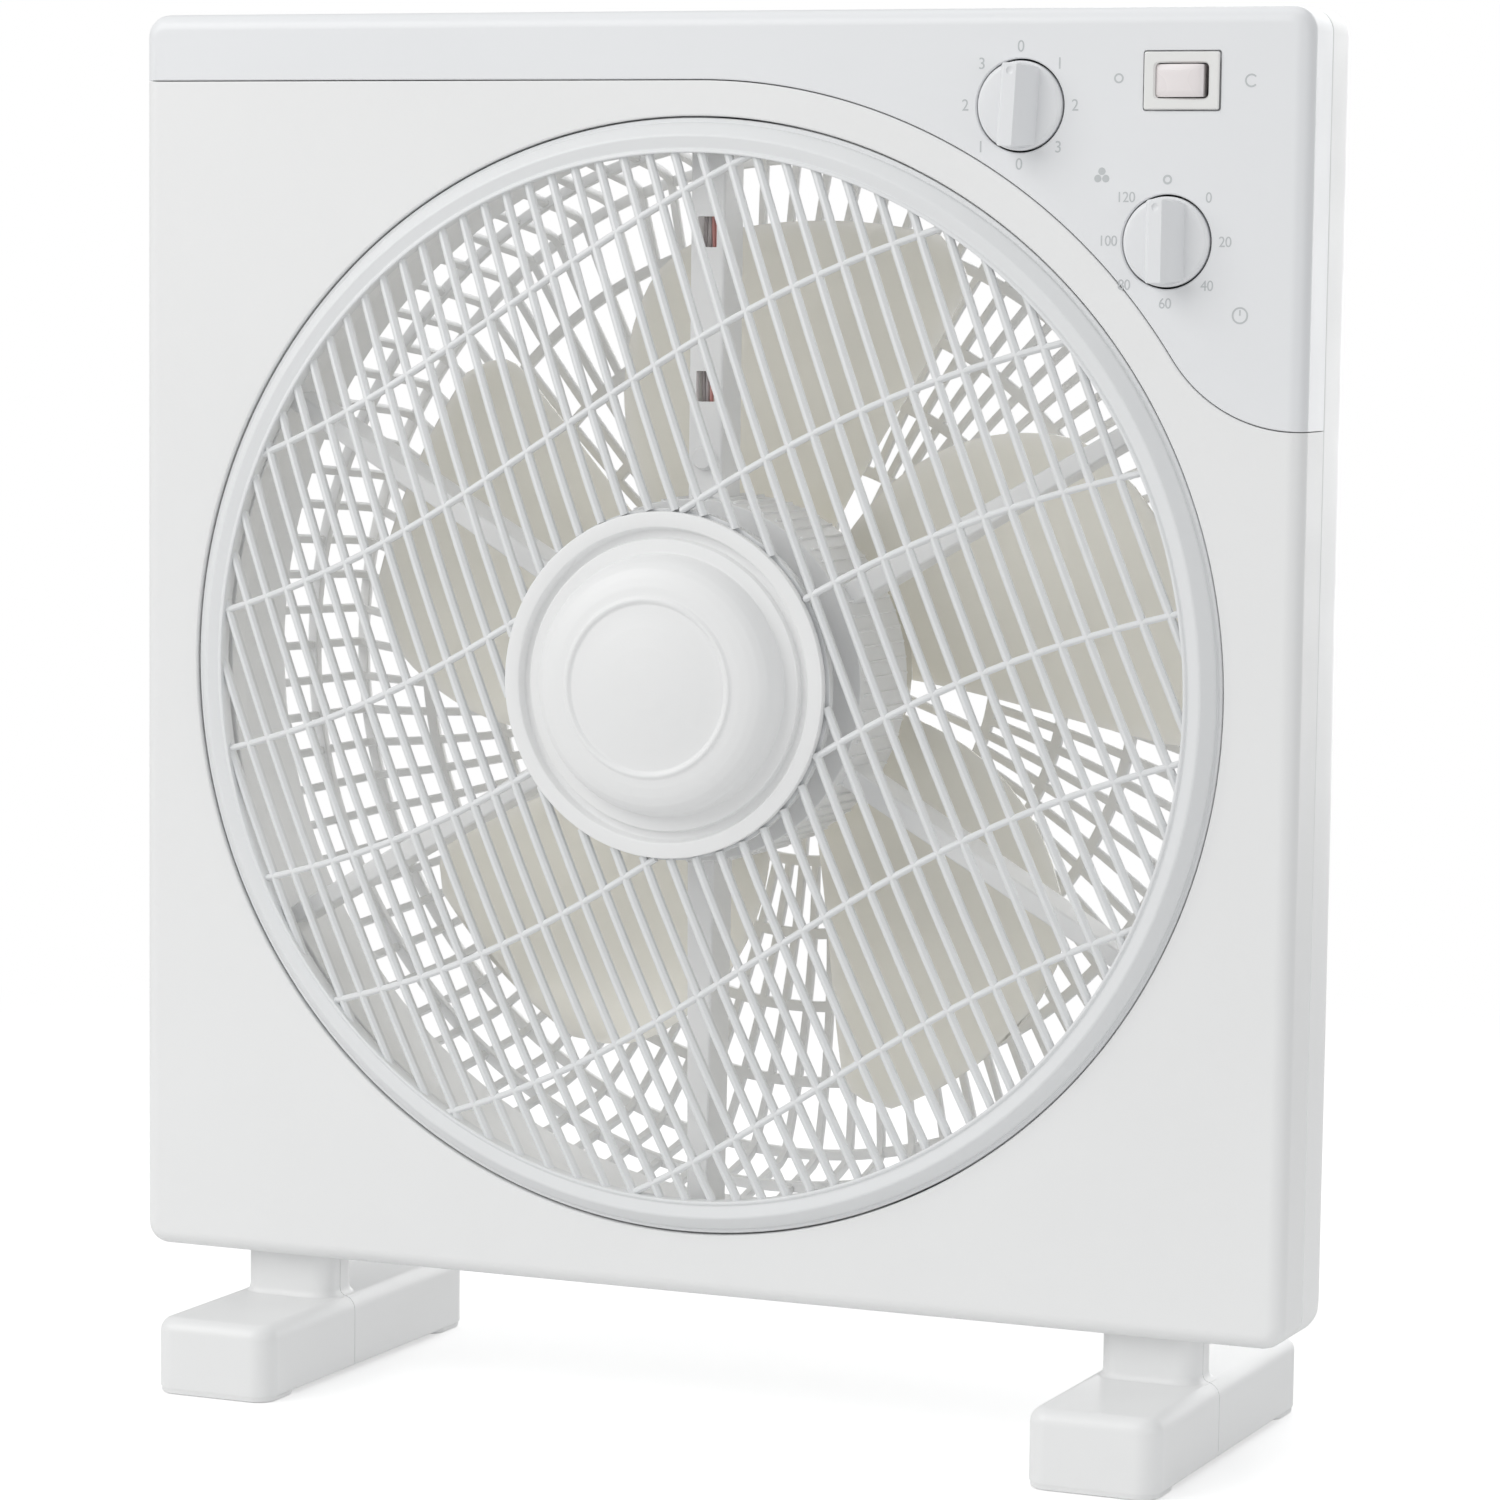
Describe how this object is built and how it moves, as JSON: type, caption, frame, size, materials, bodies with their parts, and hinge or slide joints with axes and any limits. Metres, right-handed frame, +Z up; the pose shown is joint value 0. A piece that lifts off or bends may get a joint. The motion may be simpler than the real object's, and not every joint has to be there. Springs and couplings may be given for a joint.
{
  "type": "box fan",
  "caption": "Square table-top box fan with a rotating louver grille in front, two dial knobs and a rocker switch at the upper right, on split feet.",
  "frame": {"origin": "on the floor, under the middle of the bounding box", "axes": "+Z up, the front of the fan faces -Y, +X to the right seen from the front"},
  "size_m": [0.38, 0.1386, 0.428],
  "materials": {
    "white_plastic": "satin, fine moulded grain",
    "panel_plastic": "satin gloss",
    "switch_bezel": "smooth",
    "rocker_plastic": "smooth",
    "blade_plastic": "smooth, slightly clear",
    "switch_housing": "moulded",
    "terminal_plastic": "moulded",
    "rubber": "matte",
    "steel": "plated",
    "zinc_plate": "zinc plated",
    "lamination": "varnished laminations",
    "winding": "enamelled wire",
    "lead_sleeve": "soft sleeve"
  },
  "bodies": {
    "case": {"front_shell": "white_plastic", "control_panel": "panel_plastic", "rear_shell": "white_plastic", "rear_grille": "white_plastic", "case_screw_1": "steel", "case_screw_2": "steel", "case_screw_3": "steel", "case_screw_4": "steel", "cord_gland": "rubber", "foot_front_left": "white_plastic", "foot_front_right": "white_plastic", "foot_rear_left": "white_plastic", "foot_rear_right": "white_plastic", "motor_bracket": "white_plastic", "motor_leads": "lead_sleeve", "louver_motor": "zinc_plate", "louver_motor_screw_left": "steel", "louver_motor_screw_right": "steel", "motor_front_bell": "zinc_plate", "motor_rear_bell": "zinc_plate", "motor_stator": "lamination", "front_winding": "winding", "rear_winding": "winding", "front_bearing": "steel", "rear_bearing": "steel", "speed_switch_body": "switch_housing", "timer_body": "switch_housing", "rocker_housing": "switch_bezel", "run_capacitor": "switch_housing", "terminal_block": "terminal_plastic"},
    "fan": {"fan_blade": "blade_plastic", "blade_nut": "white_plastic", "motor_shaft": "steel", "motor_rotor": "lamination"},
    "louver": {"louver_grille": "white_plastic", "louver_cap": "white_plastic", "louver_drive_shaft": "steel"},
    "speed_control": {"speed_knob": "panel_plastic", "speed_switch_spindle": "steel"},
    "timer_control": {"timer_knob": "panel_plastic", "timer_spindle": "steel"},
    "louver_switch": {"louver_rocker": "rocker_plastic"}
  },
  "joints": [
    {"name": "fan_spin", "type": "hinge", "parent": "case", "child": "fan", "pos_m": [-0.0015, 0.01875, 0.2275], "axis": [0, 1, 0], "continuous": true},
    {"name": "louver_spin", "type": "hinge", "parent": "case", "child": "louver", "pos_m": [-0.0015, -0.03125, 0.2275], "axis": [0, 1, 0], "continuous": true},
    {"name": "speed_turn", "type": "hinge", "parent": "case", "child": "speed_control", "pos_m": [0.1019, -0.03125, 0.3997], "axis": [0, 1, 0], "continuous": true},
    {"name": "timer_turn", "type": "hinge", "parent": "case", "child": "timer_control", "pos_m": [0.1475, -0.03125, 0.3608], "axis": [0, 1, 0], "range_deg": [0, 315]},
    {"name": "louver_switch_tip", "type": "hinge", "parent": "case", "child": "louver_switch", "pos_m": [0.1513, -0.02625, 0.4068], "axis": [0, 0, 1], "range_deg": [0, 16]}
  ]
}
